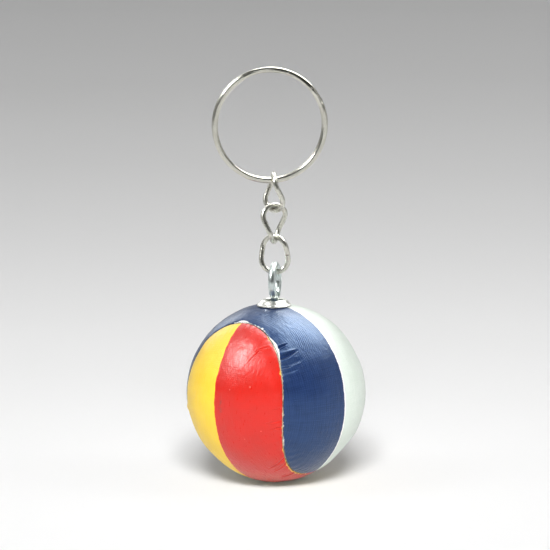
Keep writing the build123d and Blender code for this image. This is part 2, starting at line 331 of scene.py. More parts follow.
# ---------------------------------------------------------------- grid of the whole ball
def quad_sphere(cells):
    """Triangulated cube sphere, wound outwards, with alternating diagonals."""
    ticks = np.tan(np.linspace(-math.pi / 4, math.pi / 4, cells + 1))
    across, along = np.meshgrid(ticks, ticks, indexing="ij")
    one = np.ones_like(across)
    sides = [
        (one, across, along), (-one, -across, along), (-across, one, along),
        (across, -one, along), (-along, across, one), (along, across, -one),
    ]
    corner = (np.arange(cells)[:, None] * (cells + 1) + np.arange(cells)[None, :])
    quad = np.stack([corner, corner + cells + 1, corner + cells + 2, corner + 1], -1)
    verts = np.concatenate([unit(np.stack(side, -1).reshape(-1, 3)) for side in sides])
    faces = np.concatenate([quad.reshape(-1, 4) + i * (cells + 1) ** 2 for i in range(6)])
    key = np.round(verts * 1e6).astype(np.int64)
    _, first, inverse = np.unique(key, axis=0, return_index=True, return_inverse=True)
    verts, faces = verts[first], inverse.reshape(-1)[faces]
    corners = [verts[faces[:, i]] for i in range(3)]
    normal = np.cross(corners[1] - corners[0], corners[2] - corners[0])
    inward = (normal * verts[faces].mean(1)).sum(1) < 0
    faces[inward] = faces[inward][:, ::-1]
    split_a = np.concatenate([faces[:, [0, 1, 2]], faces[:, [0, 2, 3]]])
    split_b = np.concatenate([faces[:, [0, 1, 3]], faces[:, [1, 2, 3]]])
    number = np.arange(len(faces))
    even = np.tile((number + number // cells) % 2 == 0, 2)
    return verts, np.where(even[:, None], split_a, split_b)


def triangle_edges(tris):
    return np.concatenate([tris[:, [0, 1]], tris[:, [1, 2]], tris[:, [2, 0]]])


def refine(verts, tris, near):
    """Split the edges that touch a near vertex, and close the triangles beside them."""
    edges, inverse = np.unique(
        np.sort(triangle_edges(tris), axis=1), axis=0, return_inverse=True)
    marked = near[edges[:, 0]] | near[edges[:, 1]]
    middles = unit(verts[edges[marked]].sum(1))
    middle_of = np.full(len(edges), -1)
    middle_of[marked] = len(verts) + np.arange(marked.sum())
    mids = middle_of[inverse.reshape(3, -1)]
    split = mids >= 0
    count = split.sum(0)
    parts = [tris[count == 0]]

    def add(*corner_sets):
        parts.extend(np.stack(corners, 1) for corners in corner_sets)

    pick = count == 3
    one, two, three = tris[pick].T
    mid_a, mid_b, mid_c = mids[:, pick]
    add((one, mid_a, mid_c), (mid_a, two, mid_b), (mid_c, mid_b, three), (mid_a, mid_b, mid_c))
    for i in range(3):
        order = [i, (i + 1) % 3, (i + 2) % 3]
        pick = (count == 1) & split[i]
        one, two, three = (tris[pick, j] for j in order)
        mid = mids[i, pick]
        add((one, mid, three), (mid, two, three))
        pick = (count == 2) & ~split[i]
        one, two, three = (tris[pick, j] for j in order)
        mid_b, mid_c = mids[order[1], pick], mids[order[2], pick]
        add((one, two, mid_b), (one, mid_b, mid_c), (mid_c, mid_b, three))
    return np.concatenate([verts, middles]), np.concatenate(parts)


def ball_grid():
    """The whole ball's grid, finer at the seam and the creases."""
    verts, tris = quad_sphere(GRID_N)
    cos, sin = math.cos(GRID_TURN), math.sin(GRID_TURN)
    verts = verts @ np.array([[cos, -sin, 0], [sin, cos, 0], [0, 0, 1.0]]).T
    for seam_reach, crease_reach in REFINE_PASSES:
        near = np.abs(seam_frame(verts)[0]) < seam_reach
        near |= crease_distance(verts) < crease_reach
        verts, tris = refine(verts, tris, near)
    return verts, tris


grid_verts, grid_tris = ball_grid()
grid_dist, grid_param = seam_frame(grid_verts)


def compact(tris, count):
    """The vertices that the triangles use, and the triangles numbered by them."""
    used = np.unique(tris)
    renumber = np.full(count, -1)
    renumber[used] = np.arange(len(used))
    return used, renumber[tris]


def cut_panel(panel):
    """The part of the grid on one side of the seam, its edge exactly on the gap line."""
    inset = grid_dist * panel.side - seam_gap(grid_param, panel)
    verts = grid_verts.copy()
    # snap vertices close to the line onto it, so that no sliver is left
    near = np.abs(inset) < SNAP_SHARE * FINE_STEP
    for i in np.where(near)[0]:
        nearest = seam_tree.find(verts[i])[1]
        verts[i] = verts[i] - panel.side * seam_side[nearest] * (inset[i] / BALL_R)
    verts[near] = unit(verts[near])
    inset[near] = 0.0
    inside = (inset > 0)[grid_tris].sum(1)
    outside = (inset < 0)[grid_tris].sum(1)
    kept = grid_tris[(outside == 0) & (inside > 0)]
    new_verts, cut_index, pieces = [], {}, []

    def cut_point(start, end):
        key = (start, end) if start < end else (end, start)
        if key not in cut_index:
            share = inset[start] / (inset[start] - inset[end])
            cut_index[key] = len(verts) + len(new_verts)
            new_verts.append(unit(verts[start] + (verts[end] - verts[start]) * share))
        return cut_index[key]

    for tri in grid_tris[(inside > 0) & (outside > 0)]:
        outline = []
        for j in range(3):
            start, end = int(tri[j]), int(tri[(j + 1) % 3])
            if inset[start] >= 0:
                outline.append(start)
            if inset[start] * inset[end] < 0:
                outline.append(cut_point(start, end))
        for j in range(1, len(outline) - 1):
            pieces.append((outline[0], outline[j], outline[j + 1]))
    tris = np.concatenate([kept, np.array(pieces, int).reshape(-1, 3)])
    verts = np.concatenate([verts, np.array(new_verts).reshape(-1, 3)])
    used, tris = compact(tris, len(verts))
    return verts[used], tris


def boundary_edges(tris):
    edges = triangle_edges(tris)
    _, inverse, count = np.unique(
        np.sort(edges, axis=1), axis=0, return_inverse=True, return_counts=True)
    return edges[count[inverse.reshape(-1)] == 1]


# ---------------------------------------------------------------- relief of the cover, mm
lumps = waves(count=14, wavelength=17.0, spread=0.3, seed=3)
dents = waves(count=40, wavelength=5.5, spread=0.35, seed=4)
skin = waves(count=70, wavelength=1.5, spread=0.4, seed=5)
pucker_phase = waves(count=20, wavelength=9.0, spread=0.4, seed=8)

LUMP_MM, DENT_MM, SKIN_MM = 0.10, 0.035, 0.010    # heights, coarse to fine
PULL_IN = ((0.22, 0.85), (0.10, 3.0))             # depth and reach of the dip at the seam
GATHER_MM, GATHER_REACH = 0.060, 1.3
GATHERS = ((46, 3.0, pucker_phase), (83, 2.0, dents))       # count a turn, wander, its noise
GATE_ZOOM, GATE_SHIFT, GATE_SPAN = 0.5, 31.0, (-0.2, 0.8)   # noise that picks where they show
TIP_RIPPLES, TIP_WANDER, TIP_WIDTH = 118, 1.5, 0.55         # ripples round a lobe's tip
TIP_RIPPLE_AT, TIP_RIPPLE_HALF = 1.4, 1.6         # distance from the seam, half width
TOP_FADE = (3.9, 5.6)                             # relief starts outside the washer
PRESSED_MM, PRESSED_SPAN = 0.10, (3.6, 5.0)       # cover pressed flat under the washer
DRAWN_MM, DRAWN_AT, DRAWN_HALF = 0.06, 4.4, 0.9   # cover drawn down around the washer
BOTTOM_FADE = (0.5, 4.0)                          # lowest point rests at the origin
RELIEF_RANGE = (-0.64, 0.45)
EDGE_WIDTH, EDGE_DROP = 0.30, 0.17                # the raw edge turns down into the joint


def relief(dirs, seam_dist, param, panel):
    """Radial displacement in mm at unit directions."""
    mm = dirs * BALL_R
    depth_in = np.abs(seam_dist)
    dent = dents(mm)
    height = LUMP_MM * lumps(mm) + DENT_MM * dent + SKIN_MM * skin(mm)
    height -= sum(depth * np.exp(-depth_in / reach) for depth, reach in PULL_IN)
    # small gathers where the cloth was stretched to meet the seam
    gather = sum(np.sin(param * count + wander * noise(mm)) * 0.5
                 for count, wander, noise in GATHERS)
    gate = smooth(dents(mm * GATE_ZOOM + GATE_SHIFT), *GATE_SPAN)
    height += GATHER_MM * gather * gate * np.exp(-depth_in / GATHER_REACH)
    at_tip = seam_bump_pair(param, panel.tip_param, TIP_WIDTH)
    at_tip = at_tip * np.exp(-((depth_in - TIP_RIPPLE_AT) / TIP_RIPPLE_HALF) ** 2)
    height += panel.tip_ripple * np.sin(param * TIP_RIPPLES + TIP_WANDER * dent) * at_tip
    for path, *shape in panel.creases:
        height += groove(dirs, path, *shape)
        height += BACK_CREASE_SHARE * groove(dirs, half_turned(path), *shape)
    for path in panel.fans:
        height += fan(dirs, path)
    for azimuth, latitude, radius, rise in panel.mounds:
        height += rise * np.exp(-(mm_from(dirs, direction(azimuth, latitude)) / radius) ** 2)
    top = mm_from(dirs, UP)
    height = height * smooth(top, *TOP_FADE) - PRESSED_MM * (1 - smooth(top, *PRESSED_SPAN))
    height -= DRAWN_MM * np.exp(-((top - DRAWN_AT) / DRAWN_HALF) ** 2)
    height = height * smooth(mm_from(dirs, -UP), *BOTTOM_FADE)
    return np.clip(height, *RELIEF_RANGE)


def edge_round(edge_dist):
    x = np.clip(1 - edge_dist / EDGE_WIDTH, 0, 1)
    return -EDGE_DROP * (1 - np.sqrt(np.maximum(1 - x * x, 0)))


# ---------------------------------------------------------------- panels
def triangle_mesh(name, verts, tris):
    mesh = bpy.data.meshes.new(name)
    mesh.vertices.add(len(verts))
    mesh.vertices.foreach_set("co", verts.astype(np.float32).ravel())
    mesh.loops.add(len(tris) * 3)
    mesh.loops.foreach_set("vertex_index", tris.astype(np.int32).ravel())
    mesh.polygons.add(len(tris))
    mesh.polygons.foreach_set("loop_start", np.arange(0, len(tris) * 3, 3, dtype=np.int32))
    mesh.polygons.foreach_set("loop_total", np.full(len(tris), 3, np.int32))
    mesh.update(calc_edges=True)
    mesh.validate()
    mesh.polygons.foreach_set("use_smooth", np.ones(len(mesh.polygons), bool))
    return mesh


def make_panel(panel):
    """A closed shell: relief outside, plain sphere inside, and a wall along every edge."""
    dirs, tris = cut_panel(panel)
    if panel.has_hole:
        # the shank's hole, under the washer
        hole = (np.linalg.norm(dirs[:, :2], axis=1) * BALL_R < SHANK_HOLE_R) & (dirs[:, 2] > 0)
        used, tris = compact(tris[~hole[tris].all(1)], len(dirs))
        dirs = dirs[used]
    seam_dist, param = seam_frame(dirs)
    edge_dist = np.maximum(np.abs(seam_dist) - seam_gap(param, panel), 0)
    height = relief(dirs, seam_dist, param, panel) + edge_round(edge_dist)
    count = len(dirs)
    outer = CENTRE + dirs * (BALL_R + height)[:, None]
    inner = CENTRE + dirs * (BALL_R - COVER_T)
    start, end = boundary_edges(tris).T
    wall = [np.stack([end, start, start + count], 1),
            np.stack([end, start + count, end + count], 1)]
    faces = np.concatenate([tris, tris[:, ::-1] + count, *wall])
    mesh = triangle_mesh(panel.name, np.concatenate([outer, inner]) * MM, faces)

    def attribute(key, outside, inside):
        layer = mesh.attributes.new(key, "FLOAT", "POINT")
        layer.data.foreach_set("value", np.concatenate([outside, inside]).astype(np.float32))

    # cloth coordinates in mm: across the panel and along its middle line
    middle = direction(panel.middle_azimuth)
    across = np.array([-middle[1], middle[0], 0.0])
    layers = {
        "cloth_u": np.arcsin(np.clip(dirs @ across, -1, 1)) * BALL_R,
        "cloth_v": np.arctan2(dirs @ middle, dirs[:, 2] * panel.middle_up) * BALL_R,
        "edge_mm": edge_dist,
        "seam_t": param,
    }
    for key, values in layers.items():
        attribute(key, values, values)
    attribute("inside", np.zeros(count), np.ones(count))
    margin = raw_margin(param, panel)
    attribute("margin_mm", margin, margin)
    obj = bpy.data.objects.new(panel.name, mesh)
    bpy.context.scene.collection.objects.link(obj)
    return obj


panel_a = make_panel(PANEL_A)
panel_b = make_panel(PANEL_B)


# ---------------------------------------------------------------- node helpers
class Net:
    """A material and short calls that add nodes to it."""

    def __init__(self, name):
        self.mat = bpy.data.materials.new(name)
        self.mat.use_nodes = True
        self.tree = self.mat.node_tree
        self.tree.nodes.clear()
        self.out = self.tree.nodes.new("ShaderNodeOutputMaterial")

    def new(self, kind, **values):
        node = self.tree.nodes.new(kind)
        for key, value in values.items():
            setattr(node, key, value)
        return node

    def put(self, socket, value):
        """Link a socket, or set a number or an RGB colour."""
        if isinstance(value, bpy.types.NodeSocket):
            self.tree.links.new(value, socket)
        elif isinstance(value, tuple):
            socket.default_value = (*value, 1)
        else:
            socket.default_value = value

    def math(self, operation, first, second=0.0, clamp=False):
        node = self.new("ShaderNodeMath", operation=operation, use_clamp=clamp)
        self.put(node.inputs[0], first)
        self.put(node.inputs[1], second)
        return node.outputs[0]

    def add(self, first, second, clamp=False):
        return self.math("ADD", first, second, clamp)

    def sub(self, first, second):
        return self.math("SUBTRACT", first, second)

    def mul(self, first, second):
        return self.math("MULTIPLY", first, second)

    def swing(self, noise, size):
        """Noise centred on 0 and scaled."""
        return self.mul(self.sub(noise, 0.5), size)

    def attr(self, name):
        return self.new("ShaderNodeAttribute", attribute_name=name).outputs["Fac"]

    def position(self):
        return self.new("ShaderNodeTexCoord").outputs["Object"]

    def scale(self, vector, factor):
        node = self.new("ShaderNodeVectorMath", operation="SCALE")
        self.put(node.inputs[0], vector)
        node.inputs["Scale"].default_value = factor
        return node.outputs[0]

    def mm(self):
        return self.scale(self.position(), 1 / MM)

    def vector(self, operation, vector, other=None):
        node = self.new("ShaderNodeVectorMath", operation=operation)
        self.put(node.inputs[0], vector)
        if other is not None:
            node.inputs[1].default_value = other
        return node.outputs["Value" if operation in ("DOT_PRODUCT", "LENGTH") else "Vector"]

    def stretch(self, vector, factors):
        return self.vector("MULTIPLY", vector, factors)

    def combine(self, x, y):
        node = self.new("ShaderNodeCombineXYZ")
        self.put(node.inputs[0], x)
        self.put(node.inputs[1], y)
        return node.outputs[0]

    def noise(self, vector, scale, detail=2.0, rough=0.5, distortion=0.0):
        node = self.new("ShaderNodeTexNoise")
        self.put(node.inputs["Vector"], vector)
        node.inputs["Scale"].default_value = scale
        node.inputs["Detail"].default_value = detail
        node.inputs["Roughness"].default_value = rough
        node.inputs["Distortion"].default_value = distortion
        return node.outputs["Fac"]

    def voronoi(self, vector, scale, feature="F1"):
        node = self.new("ShaderNodeTexVoronoi", feature=feature)
        self.put(node.inputs["Vector"], vector)
        node.inputs["Scale"].default_value = scale
        return node.outputs["Distance"]

    def map(self, value, span, to=(0.0, 1.0), soft=False):
        kind = "SMOOTHSTEP" if soft else "LINEAR"
        node = self.new("ShaderNodeMapRange", interpolation_type=kind, clamp=True)
        self.put(node.inputs["Value"], value)
        ends = zip(("From Min", "From Max", "To Min", "To Max"), (*span, *to))
        for key, number in ends:
            node.inputs[key].default_value = number
        return node.outputs[0]

    def mix(self, factor, first, second, blend="MIX"):
        node = self.new("ShaderNodeMix", data_type="RGBA", blend_type=blend, clamp_factor=True)
        self.put(node.inputs[0], factor)
        self.put(node.inputs[6], first)
        self.put(node.inputs[7], second)
        return node.outputs[2]

    def bump(self, height, distance, strength, normal=None):
        node = self.new("ShaderNodeBump")
        self.put(node.inputs["Height"], height)
        node.inputs["Distance"].default_value = distance
        node.inputs["Strength"].default_value = strength
        if normal is not None:
            self.put(node.inputs["Normal"], normal)
        return node.outputs[0]

    def principled(self, **values):
        node = self.new("ShaderNodeBsdfPrincipled")
        for key, value in values.items():
            self.put(node.inputs[key.replace("_", " ")], value)
        self.put(self.out.inputs[0], node.outputs[0])


def srgb(*channels):
    """Linear colour from 0-255 display values."""
    parts = [channel / 255 for channel in channels]
    return tuple(x / 12.92 if x <= 0.04045 else ((x + 0.055) / 1.055) ** 2.4 for x in parts)


# ---------------------------------------------------------------- printed cover
def ink(base, shade, thread, line, rough, weave, tint=(1.0, 1.0, 1.0)):
    """A print colour: base and shade mottle, thread shows through by the share weave,
    line runs along the print line, tint colours the reflection."""
    return SimpleNamespace(base=base, shade=shade, thread=thread, line=line,
                           rough=rough, weave=weave, tint=tint)


YELLOW = ink(base=srgb(240, 198, 36), shade=srgb(242, 204, 50), thread=srgb(250, 214, 80),
             line=srgb(252, 206, 40), rough=0.46, weave=0.10)
RED = ink(base=srgb(197, 19, 5), shade=srgb(189, 25, 13), thread=srgb(217, 64, 45),
          line=srgb(214, 44, 20), rough=0.31, weave=0.16)
BLUE = ink(base=srgb(2, 16, 56), shade=srgb(12, 31, 72), thread=srgb(56, 80, 128),
           line=srgb(16, 28, 84), rough=0.35, weave=0.46, tint=(0.40, 0.66, 1.0))
WHITE = ink(base=srgb(208, 219, 208), shade=srgb(216, 225, 216), thread=srgb(232, 238, 232),
            line=srgb(255, 255, 255), rough=0.48, weave=0.14, tint=(0.6, 0.6, 0.6))
# painted shade: the joint's shadow, with some grime, along the panel edge; the cut wall is
# painted dark brown as the shade inside the joint
JOINT_SHADE_AND_GRIME = (0.075, 0.045, 0.022)
CUT_WALL_SHADE = (0.060, 0.036, 0.018)
BACKING = (0.62, 0.58, 0.48)
THREAD_PITCH_U, THREAD_PITCH_V = 0.50, 0.46       # mm


def print_line_distance(net, mm, angle, offset):
    """Distance in mm to the print line's upright plane, positive towards +X.
    The plane's normal is `angle` degrees from +X. The line wanders and is toothed."""
    normal = (math.cos(math.radians(angle)), math.sin(math.radians(angle)), 0.0)
    dist = net.sub(net.vector("DOT_PRODUCT", mm, normal), offset)
    wander = net.swing(net.noise(mm, scale=0.55, detail=3.0, rough=0.6), size=0.50)
    teeth = net.swing(net.noise(mm, scale=3.2, detail=2.0, rough=0.6), size=0.20)
    return net.add(net.add(dist, wander), teeth)


def woven_base(net, cloth):
    """Thread rows, slightly wavy and worn in places, and the thick and thin of the threads."""
    wobble = net.noise(cloth, scale=0.6, detail=2.0, rough=0.5)
    rows = []
    for key, pitch in (("cloth_u", THREAD_PITCH_U), ("cloth_v", THREAD_PITCH_V)):
        place = net.add(net.attr(key), net.mul(wobble, 0.5))
        rows.append(net.math("SINE", net.mul(place, TURN / pitch)))
    ribs = net.add(net.mul(rows[0], 0.60), net.mul(rows[1], 0.40))
    weave = net.add(net.mul(net.mul(*rows), 0.6), ribs)
    slubs = []
    for factors in ((2.2, 0.12, 1.0), (0.12, 2.2, 1.0)):
        threads = net.noise(net.stretch(cloth, factors), scale=1.0, detail=3.0, rough=0.6)
        slubs.append(net.sub(threads, 0.5))
    patches = net.noise(cloth, scale=0.16, detail=3.0, rough=0.55)
    worn = net.map(patches, span=(0.34, 0.66), to=(0.35, 1.0))
    return net.mul(weave, worn), net.add(*slubs)


def print_colour(net, cloth, dist, side, weave, slub, right, left):
    """The two inks with their mottle and threads, and a line of each along the print line."""
    mottle = net.noise(cloth, scale=0.30, detail=4.0, rough=0.6)
    speck = net.noise(cloth, scale=3.4, detail=2.0, rough=0.6)
    shade = net.map(net.add(mottle, net.mul(slub, 0.35)), span=(0.30, 0.72))
    thread = net.add(net.map(weave, span=(-1.2, 1.5)), net.mul(slub, 0.7), clamp=True)
    right_colour, left_colour = (
        net.mix(net.mul(thread, tone.weave), net.mix(shade, tone.base, tone.shade), tone.thread)
        for tone in (right, left))
    specks = net.map(speck, span=(0.62, 0.74), to=(0.0, 0.30))
    right_colour = net.mix(specks, right_colour, right.thread)
    colour = net.mix(side, left_colour, right_colour)
    right_line = net.mul(net.map(dist, span=(0.02, 0.10)),
                         net.map(dist, span=(0.16, 0.42), to=(1.0, 0.0), soft=True))
    left_line = net.mul(net.map(dist, span=(-0.06, -0.02), to=(1.0, 0.0)),
                        net.map(dist, span=(-0.40, -0.22), soft=True))
    colour = net.mix(net.mul(right_line, 0.75), colour, right.line)
    return net.mix(net.mul(left_line, 0.75), colour, left.line)


def edge_colour(net, mm, colour, raw):
    """Unprinted margin along the seam, painted seam shadow with some grime in the joint, cut wall
    painted dark brown as the joint's shade, bare backing.
    """
    edge = net.attr("edge_mm")
    ragged = net.swing(net.noise(mm, scale=3.6, detail=3.0, rough=0.7), size=0.20)
    beyond = net.sub(net.add(edge, ragged), net.attr("margin_mm"))
    in_margin = net.mul(net.map(beyond, span=(-0.03, 0.05), to=(1.0, 0.0)),
                        net.map(net.attr("margin_mm"), span=(0.02, 0.07)))
    colour = net.mix(in_margin, colour, raw)
    # painted shade: darkening near the edge stands for the seam's shadow, broken up by dirt noise
    # as some grime
    dirt = net.noise(mm, scale=1.3, detail=3.0, rough=0.6)
    shade_and_grime = net.mul(net.map(edge, span=(0.03, 0.20), to=(1.0, 0.0)),
                    net.map(dirt, span=(0.38, 0.60), to=(0.25, 1.0)))
    colour = net.mix(net.mul(shade_and_grime, 0.80), colour, JOINT_SHADE_AND_GRIME)
    # painted shade: the cut wall inside the joint is painted dark brown
    colour = net.mix(net.map(net.attr("inside"), span=(0.01, 0.10)), colour, CUT_WALL_SHADE)
    colour = net.mix(net.map(net.attr("inside"), span=(0.90, 0.99)), colour, BACKING)
    return colour, in_margin


def cover_normal(net, cloth, weave, slub):
    """Fine wrinkles, hairlines, cracks in the coating, then threads and pores. Bumps in m."""
    pores = net.noise(cloth, scale=6.0, detail=3.0, rough=0.6)
    shift = net.new("ShaderNodeTexNoise").outputs["Color"]
    crack_place = net.mix(0.35, net.stretch(cloth, (1.3, 0.8, 1.0)), shift, blend="ADD")
    crack = net.voronoi(crack_place, scale=1.0, feature="DISTANCE_TO_EDGE")
    crack = net.map(crack, span=(0.0, 0.10), soft=True)
    wrinkle = net.noise(net.stretch(cloth, (0.9, 0.30, 1.0)),
                        scale=1.6, detail=3.0, rough=0.6, distortion=0.8)
    hairline = net.noise(net.stretch(cloth, (1.5, 0.45, 1.0)),
                         scale=3.2, detail=3.0, rough=0.65, distortion=1.2)
    height = net.add(net.mul(weave, 0.55), net.mul(pores, 0.7))
    height = net.add(height, net.mul(slub, 0.9))
    normal = net.bump(wrinkle, distance=0.00015, strength=0.65)
    normal = net.bump(hairline, distance=0.00004, strength=0.65, normal=normal)
    normal = net.bump(crack, distance=0.000007, strength=0.55, normal=normal)
    return net.bump(height, distance=0.00002, strength=0.85, normal=normal)


def cover_material(name, right, left, raw, line_angle, line_offset, ior, marks=None):
    """Printed coated cloth, one ink on each side of the print line."""
    net = Net(name)
    mm = net.mm()
    dist = print_line_distance(net, mm, line_angle, line_offset)
    side = net.map(dist, span=(-0.045, 0.045), soft=True)       # 0 left ink, 1 right ink
    cloth = net.combine(net.attr("cloth_u"), net.attr("cloth_v"))
    weave, slub = woven_base(net, cloth)
    colour = print_colour(net, cloth, dist, side, weave, slub, right, left)
    colour, in_margin = edge_colour(net, mm, colour, raw)
    if marks:
        colour = marks(net, mm, colour)
    # coating gloss with handling smears, duller in the raw margin
    smear = net.noise(net.stretch(cloth, (1.6, 0.35, 1.0)), scale=1.5, detail=4.0, rough=0.65)
    rough = net.add(net.mul(side, right.rough - left.rough), left.rough)
    rough = net.add(rough, net.swing(smear, size=0.25))
    rough = net.add(rough, net.mul(in_margin, 0.3), clamp=True)
    net.principled(
        Base_Color=colour, Roughness=rough, Normal=cover_normal(net, cloth, weave, slub),
        IOR=ior, Specular_Tint=net.mix(side, left.tint, right.tint),
        Coat_Weight=0.10, Coat_Roughness=0.22, Sheen_Weight=0.05, Sheen_Roughness=0.4)
    return net.mat


def patch(net, mm, azimuth, latitude, half_width, half_height):
    """Soft spot on the ball at a direction, half sizes in mm."""
    centre = CENTRE + direction(azimuth, latitude) * BALL_R
    offset = net.vector("SUBTRACT", mm, tuple(centre))
    offset = net.stretch(offset, (1 / half_width, 1 / half_width, 1 / half_height))
    return net.map(net.vector("LENGTH", offset), span=(0.2, 1.0), to=(1.0, 0.0), soft=True)


RUB_COLOUR, SPECK_COLOUR = srgb(120, 70, 62), srgb(246, 130, 118)
# azimuth, latitude, half size mm
SPECKS = ((-17.0, 14.7, 0.32), (-27.1, 42.0, 0.5), (-10.0, -13.5, 0.22),
          (-22, -20, 0.25), (-31, 12, 0.25))


def red_marks(net, mm, colour):
    """A faint grey rub mark and a few specks on the red print."""
    spot = patch(net, mm, azimuth=-38.0, latitude=1.0, half_width=0.75, half_height=2.9)
    broken = net.noise(mm, scale=1.6, detail=3.0, rough=0.6)
    rub = net.mul(spot, net.map(broken, span=(0.42, 0.62), to=(0.0, 0.75)))
    colour = net.mix(rub, colour, RUB_COLOUR)
    for azimuth, latitude, size in SPECKS:
        spot = patch(net, mm, azimuth, latitude, half_width=size, half_height=size)
        colour = net.mix(net.mul(spot, 0.55), colour, SPECK_COLOUR)
    return colour


panel_a.data.materials.append(cover_material(
    "printed_cover_yellow_red", right=RED, left=YELLOW, raw=srgb(246, 196, 84),
    line_angle=-39.6, line_offset=-0.057 * BALL_R, ior=1.5, marks=red_marks))
panel_b.data.materials.append(cover_material(
    "printed_cover_blue_white", right=WHITE, left=BLUE, raw=srgb(246, 246, 238),
    line_angle=48.26, line_offset=0.0099 * BALL_R, ior=1.70))

# the pale floor takes no tint from the cover
panel_a.visible_diffuse = False
panel_b.visible_diffuse = False
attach(panel_a, "ball")
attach(panel_b, "ball")
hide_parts("cover_panel_yellow_red")
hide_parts("cover_panel_blue_white")


# ---------------------------------------------------------------- metals, padding, wood
def metal_material(name, base, cloud, dark, rough, wavy, pit):
    """Plated metal: cloudy plating, soft dents, pits and stains, and painted shade with a dirt
    tint in the corners.
    """
    net = Net(name)
    mm = net.mm()
    clouds = net.noise(mm, scale=0.7, detail=4.0, rough=0.6)
    colour = net.mix(net.map(clouds, span=(0.35, 0.68)), base, cloud)
    # painted shade: ambient occlusion darkens the corners where the parts crowd, broken up by
    # dirt noise
    corners = net.new("ShaderNodeAmbientOcclusion", samples=6)
    corners.inputs["Distance"].default_value = 0.0006
    shade_and_grime = net.map(corners.outputs["AO"], span=(0.35, 0.85), to=(0.85, 0.0))
    dirt = net.noise(mm, scale=2.5, detail=3.0, rough=0.6)
    shade_and_grime = net.mul(shade_and_grime, net.map(dirt, span=(0.3, 0.6), to=(0.5, 1.0)))
    colour = net.mix(shade_and_grime, colour, dark)
    pits = net.map(net.voronoi(mm, scale=1.3), span=(0.02, 0.10), to=(0.55 * pit, 0.0))
    colour = net.mix(pits, colour, dark)
    stains = net.noise(mm, scale=1.7, detail=3.0, rough=0.65, distortion=0.5)
    colour = net.mix(net.map(stains, span=(0.56, 0.72), to=(0.0, 0.55 * pit)), colour, dark)
    scratch = net.noise(net.stretch(mm, (1.0, 1.0, 3.0)), scale=2.0, detail=3.0, rough=0.6)
    gloss = net.add(rough, net.swing(scratch, size=0.10))
    gloss = net.add(gloss, net.mul(shade_and_grime, 0.3), clamp=True)
    hammer = net.noise(mm, scale=0.9, detail=2.0, rough=0.5)
    normal = net.bump(hammer, distance=0.00022, strength=0.6 * wavy)
    normal = net.bump(scratch, distance=0.000007, strength=0.5 * wavy, normal=normal)
    net.principled(Base_Color=colour, Metallic=1.0, Roughness=gloss, Normal=normal)
    return net.mat


def foam_material():
    net = Net("padding_foam")
    mm = net.mm()
    cells = net.voronoi(mm, scale=2.6)
    colour = net.mix(net.map(cells, span=(0.0, 0.5)), (0.40, 0.32, 0.18), (0.78, 0.72, 0.55))
    dirt = net.map(net.noise(mm, scale=0.6, detail=3.0, rough=0.6),
                   span=(0.4, 0.65), to=(0.0, 0.8))
    colour = net.mix(dirt, colour, (0.20, 0.13, 0.05))
    net.principled(Base_Color=colour,
                   Roughness=net.map(cells, span=(0.0, 0.6), to=(0.95, 0.8)),
                   Normal=net.bump(cells, distance=0.0003, strength=0.8))
    return net.mat


def wood_material():
    net = Net("turned_wood")
    mm = net.mm()
    rings = net.new("ShaderNodeTexWave", wave_type="RINGS", rings_direction="X")
    net.put(rings.inputs["Vector"], mm)
    rings.inputs["Scale"].default_value = 0.22
    rings.inputs["Distortion"].default_value = 4.0
    rings.inputs["Detail"].default_value = 3.0
    grain = net.noise(net.stretch(mm, (6.0, 6.0, 0.4)), scale=1.4, detail=3.0, rough=0.6)
    colour = net.mix(rings.outputs["Fac"], (0.42, 0.26, 0.12), (0.66, 0.47, 0.27))
    streaks = net.map(grain, span=(0.4, 0.7), to=(0.0, 0.5))
    colour = net.mix(streaks, colour, (0.30, 0.18, 0.08))
    net.principled(Base_Color=colour,
                   Roughness=net.map(grain, span=(0.2, 0.8), to=(0.55, 0.8)),
                   Normal=net.bump(grain, distance=0.0002, strength=0.5))
    return net.mat


def set_material(material, *nodes):
    for name in nodes:
        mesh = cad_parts[name].data
        mesh.materials.clear()
        mesh.materials.append(material)
        for polygon in mesh.polygons:
            polygon.use_smooth = True


nickel_link = metal_material(
    "nickel_plated_chain_wire", base=(0.66, 0.655, 0.59), cloud=(0.56, 0.555, 0.49),
    dark=(0.14, 0.13, 0.09), rough=0.28, wavy=0.28, pit=0.5)
zinc_eye = metal_material(
    "zinc_plated_eye_wire", base=(0.69, 0.75, 0.725), cloud=(0.58, 0.645, 0.635),
    dark=(0.22, 0.28, 0.30), rough=0.34, wavy=0.14, pit=0.5)
bright_washer = metal_material(
    "nickel_washer", base=(0.82, 0.82, 0.78), cloud=(0.74, 0.74, 0.69),
    dark=(0.25, 0.23, 0.18), rough=0.30, wavy=0.07, pit=0.25)
spring_ring = metal_material(
    "nickel_spring_wire", base=(0.63, 0.62, 0.555), cloud=(0.55, 0.54, 0.475),
    dark=(0.13, 0.11, 0.08), rough=0.22, wavy=0.12, pit=0.4)
set_material(nickel_link, "chain_link_top", "chain_link_middle", "chain_link_bottom")
set_material(zinc_eye, "screw_eye")
set_material(bright_washer, "cup_washer")
set_material(spring_ring, "split_ring")
set_material(foam_material(), "foam_padding_front", "foam_padding_back")
set_material(wood_material(), "wood_core")

# ---------------------------------------------------------------- floor, metres
FLOOR_RINGS = [0.02, 0.05, 0.1, 0.2, 0.4, 0.8, 1.6, 4.0, 9.0]
FLOOR_SEGMENTS = 96
FLOOR_DROP = 0.0001
FLOOR_WHITE, PAPER_SWING = 0.92, 0.01
# radius and brightness of the painted shade that darkens the floor outwards in place of the
# light's falloff; the ramp runs over the logarithm of the radius plus a shift
FLOOR_PAINTED_SHADE = [
    (0.0, 1.0), (0.039, 0.995), (0.082, 0.955), (0.185, 0.875), (0.248, 0.825),
    (0.321, 0.775), (0.503, 0.70), (0.763, 0.65), (1.169, 0.66), (2.5, 0.64),
]
LOG_SHIFT, RAMP_RADIUS = 0.03, 3.0


